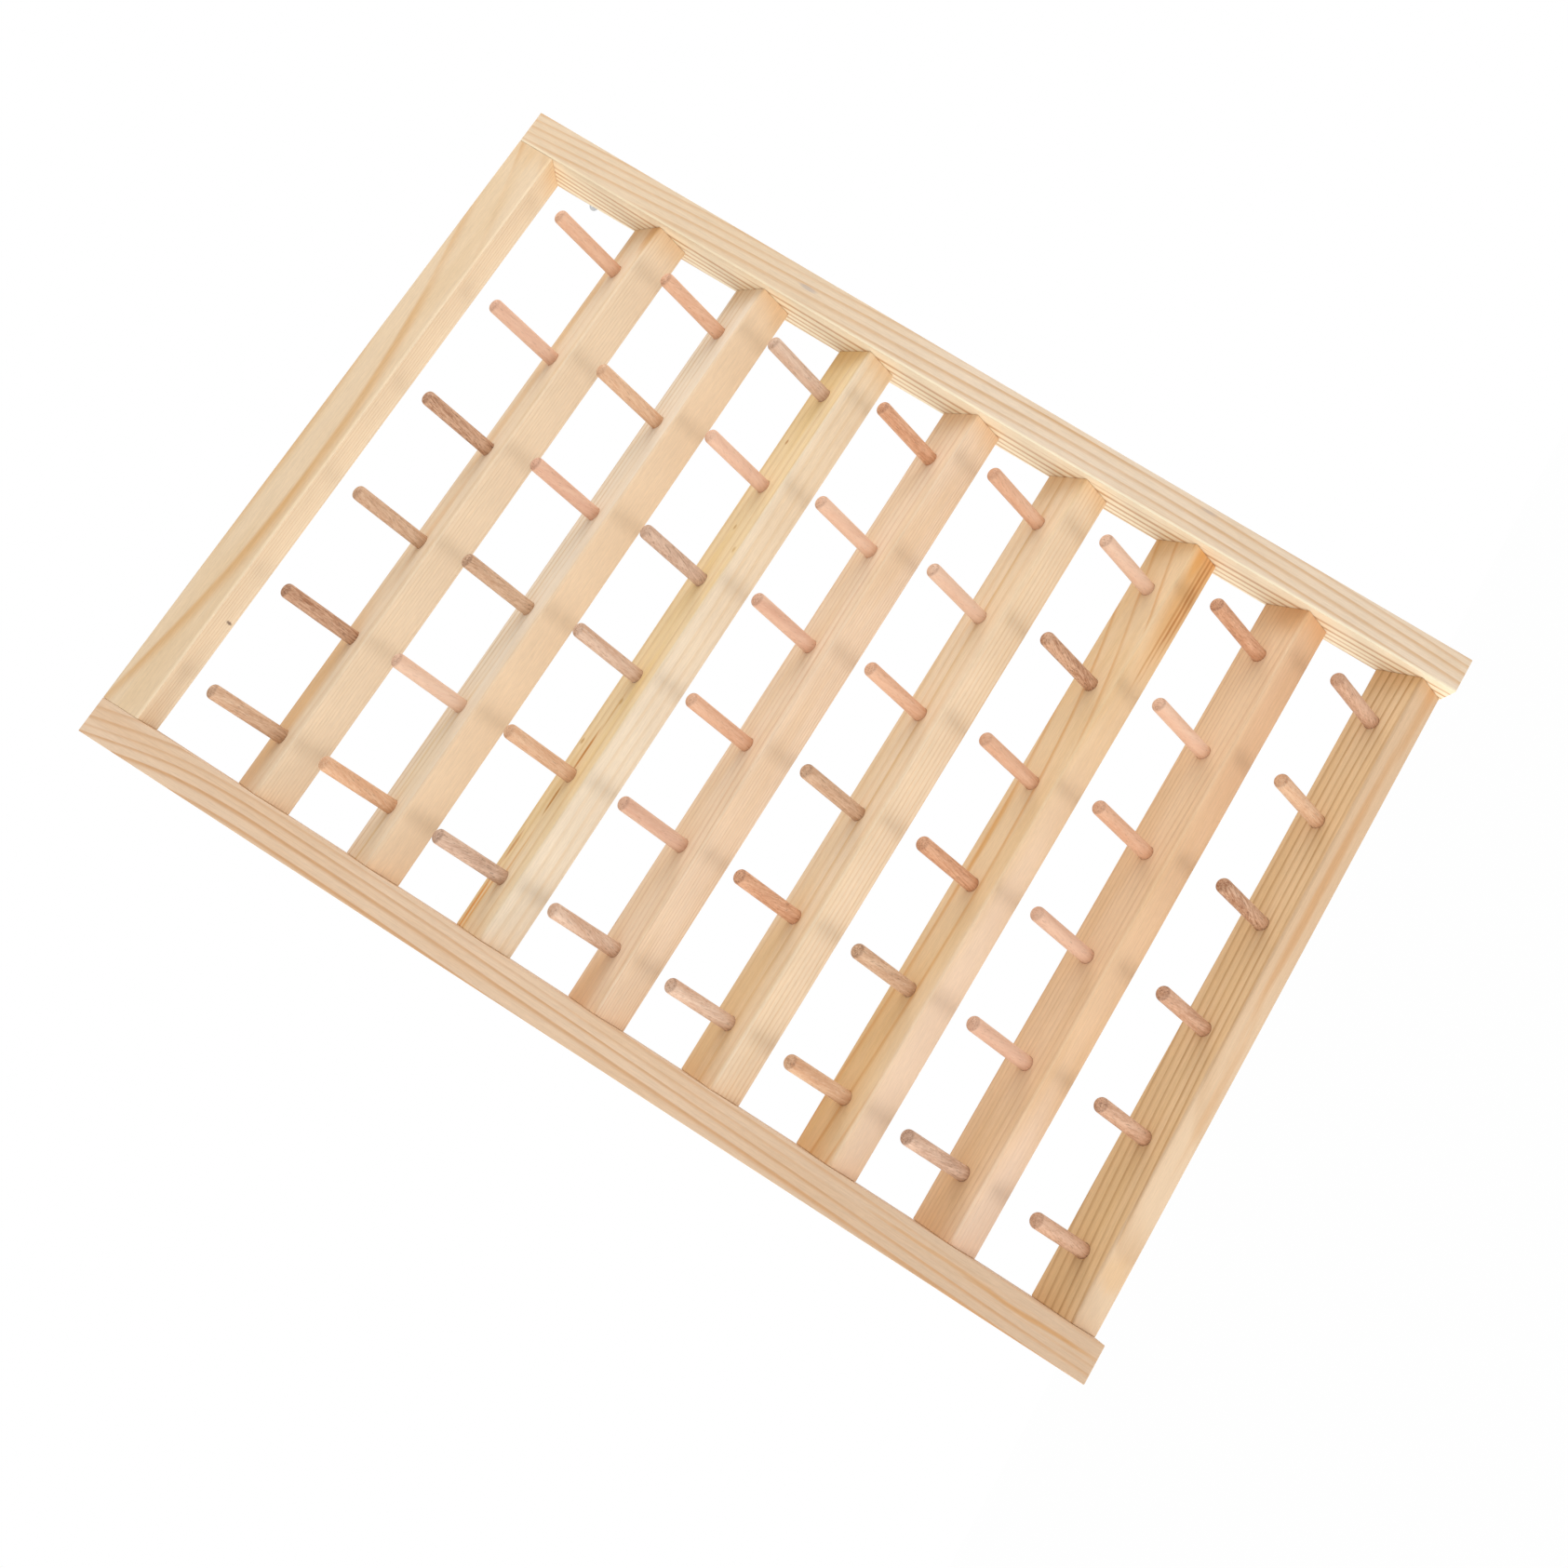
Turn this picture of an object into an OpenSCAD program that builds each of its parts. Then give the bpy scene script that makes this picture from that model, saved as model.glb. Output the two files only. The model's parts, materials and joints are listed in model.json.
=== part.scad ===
// Wall rack for spools of thread: two upright rails with a top slat and a
// ladder of rolled slats nailed between them, and a row of pegs on each slat.
// It stands here as it hangs: X runs across it, +Z up and -Y out of its front.
// The origin lies midway between the rings of the two screw eyes it hangs by.
// Rows are numbered from the top, and the pegs of a row from the left.

/* [Frame] */
// Width of the rack
rack_w = 305; // [280:1:420]
// Height of the rack
rack_h = 430; // [380:1:600]
// Width of a rail, seen from the front
rail_w = 15; // [12:0.5:20]
// Depth of the rails and of the top slat, front to back
rail_d = 21; // [19:0.5:28]
// Height of the top slat
top_h = 15.7; // [12:0.1:24]
// Height of the rails' tops above the ridge of the first pegged slat
top_rise = 67.7; // [60:0.1:90]
// Height of the last slat's ridge above the rails' lower ends
foot_rise = 12.3; // [12:0.1:40]

/* [Slats] */
// Number of pegged slats
rows = 8; // [2:1:8]
// Width of a slat's upper face, from its ridge to its back edge
slat_wide = 21.3; // [19:0.1:26]
// Thickness of a slat, square to its upper face
slat_thick = 15.8; // [13:0.1:20]
// How far a slat's upper face leans back from upright, in degrees
slat_lean = 50; // [42:1:58]
// How far the ridges lie behind the fronts of the rails
ridge_set = 3.3; // [0.5:0.1:5]
// How much the ridge and the lower front edge of a slat are taken off
slat_ease = 0.6; // [0.2:0.1:1.5]

/* [Pegs] */
// Number of pegs on a slat
cols = 6; // [2:1:6]
// Distance from the axis of an end peg to the rail beside it
end_margin = 23.25; // [22:0.25:40]
// Diameter of a peg
peg_d = 6; // [4:0.1:7.5]
// How far a peg stands out of its slat
peg_proud = 33.5; // [20:0.5:60]
// Distance from a slat's ridge up its face to the line of pegs
peg_up = 11; // [9:0.1:13]
// Radius of the rounded rim at a peg's tip
tip_round = 1.2; // [0.3:0.1:1.9]
// Width of the shoulder round a peg's thinner foot, which seats on the slat
shoulder = 0.25; // [0.2:0.05:1]
// Least wood left behind the hole of a peg
hole_floor = 1.3; // [0.5:0.1:4]
// Empty space under the foot of a peg
foot_gap = 0.5; // [0.1:0.1:1.5]
// Thickness of the glue round the foot of a peg
glue = 0.05; // [0.02:0.01:0.2]

/* [Brads] */
// Diameter of the headless brads that join the slats to the rails
brad_d = 1.6; // [1:0.1:2]
// How deep a brad goes into the end of a slat
brad_bite = 17.5; // [12:0.5:18]
// Depth of a brad's outer end below the side of the rail
brad_sink = 0.5; // [0.2:0.1:2]
// Length of a brad's point
brad_point = 2; // [1:0.1:4]
// Distance of each brad from the middle line of its pair
brad_offset = 6; // [5:0.1:6.5]

/* [Screw eyes] */
// Height of the rails' tops above the screw eyes
eye_drop = 30; // [20:1:45]
// Diameter of the wire of a screw eye's ring
eye_wire = 2.2; // [1.8:0.1:3]
// Inner diameter of a screw eye's ring
eye_bore = 6.6; // [5:0.1:12]
// Diameter of a screw eye's shank
eye_shank_d = 1.9; // [1.4:0.1:2.8]
// Length of a screw eye's neck between the rail and the ring
eye_neck = 1.9; // [1:0.1:5]
// Depth of a screw eye's shank in the rail
eye_bite = 12; // [8:0.5:15]
// Length of the point of a screw eye
eye_point = 3; // [1:0.1:5]
// Gap between a brad or a shank and the wood round it
steel_gap = 0.02; // [0.01:0.01:0.1]

/* [Hidden] */
$fn = 64;

inner_w = rack_w - 2 * rail_w;
rail_x = (rack_w - rail_w) / 2;
row_pitch = (rack_h - top_rise - foot_rise) / (rows - 1);
peg_pitch = (inner_w - 2 * end_margin) / (cols - 1);

peg_r = peg_d / 2;
foot_r = peg_r - shoulder;
hole_r = foot_r + glue;
brad_r = brad_d / 2;
shank_r = eye_shank_d / 2;
// Radius left at the very tip of a brad and of a screw eye
point_r = 0.1;
// How far a cut runs out past the face it opens
open = 1;

// The ring's centre lies at y = 0 and z = 0, and the frame is set out from it
ring_r = (eye_bore + eye_wire) / 2;
ring_out_r = ring_r + eye_wire / 2;
back_y = -(eye_neck + ring_out_r);
front_y = back_y - rail_d;
top_z = eye_drop;
foot_z = top_z - rack_h;

// The slats are cut to the depth of the rails, so their back edge is flat
ridge_y = front_y + ridge_set;
ridge_room = rail_d - ridge_set;
slat_tilt = 90 - slat_lean;
hole_depth = wood_under(peg_up + hole_r) - hole_floor;
// How much longer than the rest the pegs of each row are cut
row_extra = [0, 0, 0, 0, 0, 0, 2.5, -1.4];

rail_wood = [0.92, 0.82, 0.68];
top_wood = [0.93, 0.84, 0.71];
// Shade of each slat's wood, from the top: light, pink, yellow or orange
slat_shades = "LPYPYOPY";
slat_woods = [
    ["L", [0.93, 0.84, 0.71]],
    ["P", [0.92, 0.80, 0.69]],
    ["Y", [0.92, 0.82, 0.64]],
    ["O", [0.92, 0.78, 0.63]],
];
// Shade of each peg's wood, a word to a row: tan, pink, orange, brown, light
// or grey
peg_shades = ["TBTBPO", "TOGPTO", "BOTGPB", "TOOPLB", "LOGOOB", "PTBOGO", "GPPOLB", "PTBGOG"];
peg_woods = [
    ["T", [0.85, 0.69, 0.54]],
    ["P", [0.88, 0.71, 0.62]],
    ["O", [0.89, 0.70, 0.54]],
    ["B", [0.72, 0.54, 0.43]],
    ["L", [0.92, 0.80, 0.70]],
    ["G", [0.76, 0.65, 0.55]],
];
steel = [0.80, 0.80, 0.79];

// The colour that a table of woods gives to a shade's letter
function shade(woods, letter) = woods[search([letter], woods)[0]][1];
function peg_name(row, col) = str("peg_", row, "_", col);
function ridge_z(row) = top_z - top_rise - (row - 1) * row_pitch;
function peg_x(col) = (col - (cols + 1) / 2) * peg_pitch;

// Wood below the upper face of a slat, square to it, u up from the ridge:
// it ends at the slat's lower side or at the flat back, whichever is nearer
function wood_under(u) =
    min(slat_thick, (ridge_room - u * sin(slat_lean)) / cos(slat_lean));

// Puts the ridge of a slat on the X axis, its upper face in the XY plane and
// its wood below, with +Y running up the face
module at_slat(row) {
    translate([0, ridge_y, ridge_z(row)])
        rotate([slat_tilt, 0, 0])
            children();
}

// The two brads at each end of a slat, one each side of its line of pegs
module at_slat_brads(row) {
    for (u = [peg_up - brad_offset, peg_up + brad_offset])
        at_slat(row)
            translate([0, u, -wood_under(u) / 2])
                children();
}

// The two brads at each end of the top slat, side by side in its depth
module at_top_brads() {
    for (side = [-1, 1])
        translate([0, (front_y + back_y) / 2 + side * brad_offset, top_z - top_h / 2])
            children();
}

// Every pair of brads, as seen from one side of the rack
module at_brads() {
    at_top_brads() children();
    for (row = [1:rows])
        at_slat_brads(row) children();
}

// Its outer end lies sunk in the side of the right rail, and its point in a slat
module brad() {
    point_x = inner_w / 2 - brad_bite;
    shank_x = point_x + brad_point;
    translate([point_x, 0, 0])
        rotate([0, 90, 0])
            cylinder(h = brad_point, r1 = point_r, r2 = brad_r);
    translate([shank_x, 0, 0])
        rotate([0, 90, 0])
            cylinder(h = rack_w / 2 - brad_sink - shank_x, r = brad_r);
}

// The hole that a brad leaves, open at the side of the rail
module brad_hole() {
    point_x = inner_w / 2 - brad_bite - steel_gap;
    translate([point_x, 0, 0])
        rotate([0, 90, 0])
            cylinder(h = rack_w / 2 + open - point_x, r = brad_r + steel_gap);
}

// The hole for the shank of a screw eye, from the back of the rail
module eye_hole() {
    translate([rail_x, back_y + open, 0])
        rotate([90, 0, 0])
            cylinder(h = open + eye_bite + steel_gap, r = shank_r + steel_gap);
}

// The right rail, with the holes of its brads and of its screw eye
module rail() {
    difference() {
        translate([inner_w / 2, front_y, foot_z])
            cube([rail_w, rail_d, rack_h]);
        at_brads() brad_hole();
        eye_hole();
    }
}

module right_rail() {
    color(rail_wood) rail();
}

module left_rail() {
    color(rail_wood) mirror([1, 0, 0]) rail();
}

module top_slat() {
    color(top_wood)
        difference() {
            translate([-inner_w / 2, front_y, top_z - top_h])
                cube([inner_w, rail_d, top_h]);
            at_top_brads() {
                brad_hole();
                mirror([1, 0, 0]) brad_hole();
            }
        }
}

// A slat's outline in the at_slat frame, Y to the right and Z up, with its two
// front edges eased
module slat_outline() {
    polygon([
        [slat_ease, 0],
        [slat_wide, 0],
        [slat_wide, -slat_thick],
        [slat_ease, -slat_thick],
        [0, slat_ease - slat_thick],
        [0, -slat_ease],
    ]);
}

// A slat rolled on its ridge, its back edge planed off flush with the backs of
// the rails
module slat(row) {
    reach = slat_wide + slat_thick;
    color(shade(slat_woods, slat_shades[row - 1]))
        difference() {
            intersection() {
                at_slat(row)
                    translate([-inner_w / 2, 0, 0])
                        rotate([90, 0, 90])
                            linear_extrude(inner_w)
                                slat_outline();
                translate([-inner_w / 2, front_y, ridge_z(row) - reach])
                    cube([inner_w, rail_d, 2 * reach]);
            }
            at_slat(row)
                for (col = [1:cols])
                    translate([peg_x(col), peg_up, -hole_depth])
                        cylinder(h = hole_depth + open, r = hole_r);
            at_slat_brads(row) {
                brad_hole();
                mirror([1, 0, 0]) brad_hole();
            }
        }
}

// A dowel with a rounded rim at its tip, on a foot that is glued in the slat
module peg(row, col) {
    foot = hole_depth - foot_gap;
    tip = peg_proud + row_extra[row - 1];
    color(shade(peg_woods, peg_shades[row - 1][col - 1]))
        at_slat(row)
            translate([peg_x(col), peg_up, 0]) {
                translate([0, 0, -foot])
                    cylinder(h = foot + tip_round, r = foot_r);
                rotate_extrude() {
                    square([peg_r, tip - tip_round]);
                    square([peg_r - tip_round, tip]);
                    translate([peg_r - tip_round, tip - tip_round])
                        intersection() {
                            circle(r = tip_round);
                            square(tip_round);
                        }
                }
            }
}

// A wire ring on a pointed shank, turned so that its hole runs upright
module screw_eye() {
    straight = eye_neck + eye_bite - eye_point;
    rotate_extrude()
        translate([ring_r, 0])
            circle(d = eye_wire);
    translate([0, -ring_r, 0])
        rotate([90, 0, 0])
            cylinder(h = straight + eye_wire / 2, r = shank_r);
    translate([0, -ring_out_r - straight, 0])
        rotate([90, 0, 0])
            cylinder(h = eye_point, r1 = shank_r, r2 = point_r);
}

// The brads and the two screw eyes, each a solid of its own
module steel_fasteners() {
    color(steel) {
        at_brads() {
            brad();
            mirror([1, 0, 0]) brad();
        }
        for (side = [-1, 1])
            translate([side * rail_x, 0, 0])
                screw_eye();
    }
}

left_rail();
right_rail();
top_slat();
for (row = [1:rows])
    slat(row);
for (row = [1:rows], col = [1:cols])
    peg(row, col);
steel_fasteners();
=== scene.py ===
import json
import math
import random
from dataclasses import dataclass, field

import bpy
from mathutils import Matrix, Vector


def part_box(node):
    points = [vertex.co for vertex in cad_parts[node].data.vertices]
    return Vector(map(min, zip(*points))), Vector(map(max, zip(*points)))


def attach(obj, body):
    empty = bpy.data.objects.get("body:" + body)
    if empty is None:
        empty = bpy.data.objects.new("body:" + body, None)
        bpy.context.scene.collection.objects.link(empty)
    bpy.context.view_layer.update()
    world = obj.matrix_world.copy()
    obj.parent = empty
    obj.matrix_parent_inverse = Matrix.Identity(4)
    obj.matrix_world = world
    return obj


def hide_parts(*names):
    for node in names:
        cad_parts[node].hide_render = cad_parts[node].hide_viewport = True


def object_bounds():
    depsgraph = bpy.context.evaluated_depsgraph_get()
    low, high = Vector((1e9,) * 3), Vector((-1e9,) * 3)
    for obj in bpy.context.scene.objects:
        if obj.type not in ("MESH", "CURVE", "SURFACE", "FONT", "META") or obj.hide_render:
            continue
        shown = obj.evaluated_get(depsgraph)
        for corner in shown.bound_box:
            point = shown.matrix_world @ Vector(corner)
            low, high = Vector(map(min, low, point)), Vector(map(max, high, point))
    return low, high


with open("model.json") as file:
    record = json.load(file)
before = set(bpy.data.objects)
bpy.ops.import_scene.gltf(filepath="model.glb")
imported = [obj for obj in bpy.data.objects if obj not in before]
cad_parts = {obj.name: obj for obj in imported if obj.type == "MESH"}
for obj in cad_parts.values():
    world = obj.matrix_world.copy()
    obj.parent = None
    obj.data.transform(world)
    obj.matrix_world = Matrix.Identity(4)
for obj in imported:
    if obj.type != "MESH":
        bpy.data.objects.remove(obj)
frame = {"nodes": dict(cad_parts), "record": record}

cad_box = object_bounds()
mm = 0.001
X, Y, Z = Vector((1, 0, 0)), Vector((0, 1, 0)), Vector((0, 0, 1))

ROWS = range(1, 9)
COLS = range(1, 7)

# Sizes of the boards that their boxes don't give, in millimetres
SLAT_WIDE = 21.3
SLAT_THICK = 15.8
# Radii of the rounded edges along slats and rails, and the bevel round a board's ends
SLAT_EASE = 0.9
RAIL_EASE = 0.2
END_EASE = 0.25
# How far along and how far in the bend of that bevel lies, as a share of it
BEVEL_BEND = 0.4
# The gaps at each end of a pegged slat and of the top slat
SLAT_GAP = 0.06
TOP_GAP = 0.03

# The most that a face waves from flat, and the sections along a board that shape it
UNEVEN = 0.07
SECTIONS = 60
# How many waves are added up, their lengths, and where they start at most, in radians
WAVES = 3
WAVE_LENGTHS = (30, 140)
WAVE_START = 6.3

# From a slat's ridge up its face to its pegs, and from their axes to the brads on either side,
# which lie as far from the middle of the top slat
PEG_UP = 11
BRAD_OFFSET = 6
# Radii and depths of the holes
PEG_HOLE = 3.08
PEG_HOLE_DEPTH = 3
BRAD_HOLE = 0.85
BRAD_HOLE_DEPTH = 0.55

# A peg's taper into its hole: shares of its radius, and how far they lie above the slat's face
PEG_FOOT = [(0.97, -2.5), (0.985, 0), (0.995, 1.2)]
# The rings of its shaft, which share out the way from that far above the slat's face to that far
# below the dome, each at the start of its share, and the most by which one is too thin, as a share
SHAFT_RINGS = 8
SHAFT_FROM = 2
SHAFT_SHORT = 0.5
SHAFT_THIN = 0.012
# The dome on its tip: its depth, its reach past the mount, its squareness and its rings
DOME_DEEP = 2.4
DOME_REACH = 1.15
DOME_POWER = 0.84
DOME_RINGS = 14

# Steps round an eased edge, and sides of pegs and drills
EDGE_STEPS = 4
ROUND_SIDES = 48


# Places in the frame


def place(origin, x_axis, y_axis, z_axis):
    """The matrix that puts a piece's own frame at that origin, along those axes"""
    turn = Matrix((x_axis, y_axis, z_axis)).transposed().to_4x4()
    return Matrix.Translation(origin) @ turn


pins = {mount["name"]: mount for mount in frame["record"]["mounts"] if mount["kind"] == "pin"}
peg_axis = Vector(pins["peg_1_1_pin"]["axis"]).normalized()
peg_radius = pins["peg_1_1_pin"]["dims"]["r_mm"] * mm
up_face = peg_axis.cross(X)
rail_low, rail_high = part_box("right_rail")
top_low, top_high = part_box("top_slat")
inner_w = top_high.x - top_low.x
rail_w = rail_high.x - rail_low.x
rail_d = rail_high.y - rail_low.y
rack_h = rail_high.z - rail_low.z
top_h = top_high.z - top_low.z
front_y, back_y = rail_low.y, rail_high.y


def peg_foot(row, col):
    """The point where a peg's axis meets its slat's upper face, and its free length"""
    pin = pins[f"peg_{row}_{col}_pin"]
    length = pin["dims"]["length_mm"] * mm
    return Vector(pin["pos_m"]) - peg_axis * length / 2, length


def ridge(row):
    """The middle of a slat's ridge"""
    foot, _ = peg_foot(row, 1)
    foot.x = 0
    return foot - up_face * PEG_UP * mm


def wood_behind(start, up):
    """The way square through a slat to the rack's back, from its upper face at up above start"""
    return (back_y - start.y - up * up_face.y) / -peg_axis.y


# Building of meshes


def solid(name, matrix, verts, faces, smooth):
    """A mesh object from lists, its normals pointing out"""
    mesh = bpy.data.meshes.new(name)
    mesh.from_pydata(verts, [], faces)
    mesh.polygons.foreach_set("use_smooth", smooth)
    mesh.validate()
    volume = sum(
        mesh.vertices[p.vertices[0]].co.dot(
            mesh.vertices[p.vertices[i]].co.cross(mesh.vertices[p.vertices[i + 1]].co)
        )
        for p in mesh.polygons
        for i in range(1, len(p.vertices) - 1)
    )
    if volume < 0:
        mesh.flip_normals()
    obj = bpy.data.objects.new(name, mesh)
    obj.matrix_world = matrix
    bpy.context.scene.collection.objects.link(obj)
    return obj


def skin(rings, count, smooth_spans):
    """The faces of a closed tube through rings of count points, and which of them are smooth"""
    faces, smooth = [], []
    for ring in range(rings - 1):
        near, far = ring * count, (ring + 1) * count
        for i in range(count):
            j = (i + 1) % count
            faces.append((near + i, near + j, far + j, far + i))
            smooth.append(smooth_spans[i])
    faces.append(tuple(reversed(range(count))))
    faces.append(tuple(range((rings - 1) * count, rings * count)))
    return faces, smooth + [False, False]


def lathe(name, matrix, profile):
    """A closed solid of revolution round its own Z axis from (radius, height) pairs"""
    turns = [side / ROUND_SIDES * math.tau for side in range(ROUND_SIDES)]
    verts = [
        (radius * math.cos(turn), radius * math.sin(turn), height)
        for radius, height in profile
        for turn in turns
    ]
    faces, smooth = skin(len(profile), ROUND_SIDES, [True] * ROUND_SIDES)
    return solid(name, matrix, verts, faces, smooth)


def wave(seed, size):
    """A smooth, never negative function of length that stays under size"""
    chance = random.Random(seed)
    waves = [(chance.uniform(*WAVE_LENGTHS), chance.uniform(0, WAVE_START)) for _ in range(WAVES)]

    def height(at):
        total = sum(math.sin(at / mm / length * math.tau + start) for length, start in waves)
        return size * (0.5 + total / (2 * WAVES))

    return height


def rounded(corners, radius):
    """A convex outline with round corners: points, and which spans are arcs"""
    points, arcs = [], []
    for i, corner in enumerate(corners):
        before = (corners[i - 1] - corner).normalized()
        after = (corners[(i + 1) % len(corners)] - corner).normalized()
        half = before.angle(after) / 2
        centre = corner + (before + after).normalized() * radius / math.sin(half)
        start = corner + before * radius / math.tan(half) - centre
        end = corner + after * radius / math.tan(half) - centre
        for step in range(EDGE_STEPS + 1):
            points.append(centre + start.lerp(end, step / EDGE_STEPS).normalized() * radius)
            arcs.append(step < EDGE_STEPS)
    return points, arcs


def board(name, matrix, corners, length, ease, seed):
    """A board along its own X axis, of that outline in Y and Z, with eased edges and ends"""
    outline, arcs = rounded([Vector(corner) for corner in corners], ease)
    middle = sum(outline, Vector((0, 0))) / len(outline)
    waves = [wave(seed + i, UNEVEN * mm) for i in range(len(corners))]
    per_corner = len(outline) // len(corners)
    end = END_EASE * mm
    bevel = [(0.0, end), (end * BEVEL_BEND, end * BEVEL_BEND)]
    span = length - 2 * end
    stations = bevel + [(end + span * i / SECTIONS, 0.0) for i in range(SECTIONS + 1)]
    stations += [(length - at, inset) for at, inset in reversed(bevel)]
    verts = []
    for at, inset in stations:
        for i, point in enumerate(outline):
            inward = (middle - point).normalized()
            moved = point + inward * (inset + waves[i // per_corner](at))
            verts.append((at, moved.x, moved.y))
    faces, smooth = skin(len(stations), len(outline), arcs)
    return solid(name, matrix, verts, faces, smooth)


def drill(obj, holes):
    """Cuts round holes, each (start, direction, radius, depth) in the world, out of obj"""
    cutters = []
    for start, direction, radius, depth in holes:
        turn = direction.to_track_quat("Z", "Y").to_matrix().to_4x4()
        matrix = Matrix.Translation(start) @ turn
        cutters.append(lathe("cutter", matrix, [(radius, -depth), (radius, depth)]))
    for cutter in cutters:
        cutter.data.transform(cutter.matrix_world)
        cutter.matrix_world = Matrix.Identity(4)
    with bpy.context.temp_override(
        active_object=cutters[0],
        object=cutters[0],
        selected_objects=cutters,
        selected_editable_objects=cutters,
    ):
        bpy.ops.object.join()
    cut = obj.modifiers.new("holes", "BOOLEAN")
    cut.object = cutters[0]
    cut.solver = "EXACT"
    bpy.context.view_layer.update()
    depsgraph = bpy.context.evaluated_depsgraph_get()
    mesh = bpy.data.meshes.new_from_object(obj.evaluated_get(depsgraph))
    obj.modifiers.clear()
    obj.data = mesh
    bpy.data.objects.remove(cutters[0])


def dress(obj, material, node):
    """Gives a piece its material, and lets it stand for a node"""
    obj.data.materials.clear()
    obj.data.materials.append(material)
    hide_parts(node)
    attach(obj, "root")


# Formulas of nodes

# The plain numbers in them are weights, or the seed, detail and roughness of a noise

# How far each unit of a seed moves a pattern of noise, along each axis
SEED_MOVES = (37.1, 11.3, 5.7)


class Value:
    """A number, vector or colour that a node gives. Arithmetic with it makes Math nodes"""

    def __init__(self, graph, socket):
        self.graph = graph
        self.socket = socket

    def __add__(self, other):
        return self.graph.math("ADD", self, other)

    def __sub__(self, other):
        return self.graph.math("SUBTRACT", self, other)

    def __mul__(self, other):
        return self.graph.math("MULTIPLY", self, other)

    def __truediv__(self, other):
        return self.graph.math("DIVIDE", self, other)

    __radd__ = __add__

    def step(self, start, end):
        """0 up to start, 1 from end on, and smooth between them. Start may be the larger one"""
        limits = {
            "Value": self,
            "From Min": min(start, end),
            "From Max": max(start, end),
            "To Min": 0 if start < end else 1,
            "To Max": 1 if start < end else 0,
        }
        node = self.graph.node("MapRange", limits, interpolation_type="SMOOTHSTEP")
        return Value(self.graph, node.outputs["Result"])


class Graph:
    """The nodes of one material or world"""

    def __init__(self, tree):
        self.tree = tree
        tree.nodes.clear()

    def feed(self, socket, source):
        """Links a socket to a Value or to another socket, or sets it to a plain value"""
        if isinstance(source, Value):
            source = source.socket
        if isinstance(source, bpy.types.NodeSocket):
            self.tree.links.new(source, socket)
        else:
            socket.default_value = source

    def node(self, kind, inputs=None, **settings):
        """A new node with those settings, its inputs fed by their names or numbers"""
        node = self.tree.nodes.new(f"ShaderNode{kind}")
        for setting, value in settings.items():
            setattr(node, setting, value)
        for socket, source in (inputs or {}).items():
            self.feed(node.inputs[socket], source)
        return node

    def math(self, operation, *values):
        node = self.node("Math", dict(enumerate(values)), operation=operation)
        return Value(self, node.outputs[0])

    def vector(self, operation, *values):
        node = self.node("VectorMath", dict(enumerate(values)), operation=operation)
        return Value(self, node.outputs["Value" if operation == "LENGTH" else "Vector"])

    def scaled(self, colour, by):
        node = self.node("VectorMath", {0: colour, "Scale": by}, operation="SCALE")
        return Value(self, node.outputs["Vector"])

    def split(self, vector):
        return [Value(self, socket) for socket in self.node("SeparateXYZ", {0: vector}).outputs]

    def join(self, x, y, z):
        return Value(self, self.node("CombineXYZ", {0: x, 1: y, 2: z}).outputs[0])

    def surface(self):
        """The place on the object in mm, and the direction of its surface as three numbers"""
        texture = self.node("TexCoord")
        at = self.vector("MULTIPLY", texture.outputs["Object"], (1000, 1000, 1000))
        return at, self.split(texture.outputs["Normal"])

    def noise(self, at, size=(1, 1, 1), seed=0.0, detail=2.0, rough=0.5):
        """Noise from about -0.5 to 0.5, of features of that size along each axis"""
        moved = self.vector("ADD", at, [seed * move for move in SEED_MOVES])
        scaled = self.vector("DIVIDE", moved, size)
        inputs = {"Vector": scaled, "Scale": 1, "Detail": detail, "Roughness": rough}
        return Value(self, self.node("TexNoise", inputs).outputs["Fac"]) - 0.5

    def chance(self, value):
        """A random number from 0 to 1 for each whole number"""
        node = self.node("TexWhiteNoise", {"W": value}, noise_dimensions="1D")
        return Value(self, node.outputs["Value"])

    def far_from(self, at, centre, radii):
        """The distance from a centre as a share of the radii"""
        away = self.vector("SUBTRACT", at, centre)
        return self.vector("LENGTH", self.vector("DIVIDE", away, radii))

    def mix(self, share, a, b, blend="MIX"):
        inputs = {"Factor": share, "A": a, "B": b}
        node = self.node("Mix", inputs, data_type="RGBA", blend_type=blend)
        return Value(self, node.outputs["Result"])

    def shade(self, colour, roughness, height, depth, gloss=0.35, metallic=0.0):
        """Ends in a shader of that colour, roughness and bump, a height of 1 being depth metres"""
        bump = self.node("Bump", {"Strength": 1, "Distance": depth, "Height": height})
        inputs = {
            "Base Color": colour,
            "Roughness": roughness,
            "Normal": bump.outputs["Normal"],
            "Specular IOR Level": gloss,
            "Metallic": metallic,
        }
        shader = self.node("BsdfPrincipled", inputs)
        self.node("OutputMaterial", {"Surface": shader.outputs[0]})


def new_material(name):
    """A material, and the graph of its nodes, which is empty"""
    material = bpy.data.materials.new(name)
    material.use_nodes = True
    return material, Graph(material.node_tree)


def linear(colour, by=1.0):
    """An sRGB colour from 0 to 255, times by, as the shader's linear values"""
    shares = [c * by / 255 for c in colour]
    return [s / 12.92 if s <= 0.04045 else ((s + 0.055) / 1.055) ** 2.4 for s in shares] + [1]


# Pine

# Sizes of its features in mm: along the board, across its front or upper face, and into it
SLOW_WANDER = (150, 40, 40)
QUICK_WANDER = (26, 9, 9)
LINE_FADING = (45, 3, 3)
TONE = (75, 7, 7)
FIBRE = (12, 0.5, 0.5)
SPECK = (3, 0.5, 0.5)
RAGGED_EDGE = (16, 1.2, 1.2)
# From the middle of the trunk to the board's own origin, in mm
PITH_AWAY = 120.0
# How far the slow and the quick wander move the rings, in mm
SLOW_REACH = 5
QUICK_REACH = 0.5
# How quickly the rings' spacing varies, per ring, and by how many rings it moves them
SPACING_PACE = 0.23
SPACING_REACH = 1.7
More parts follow.
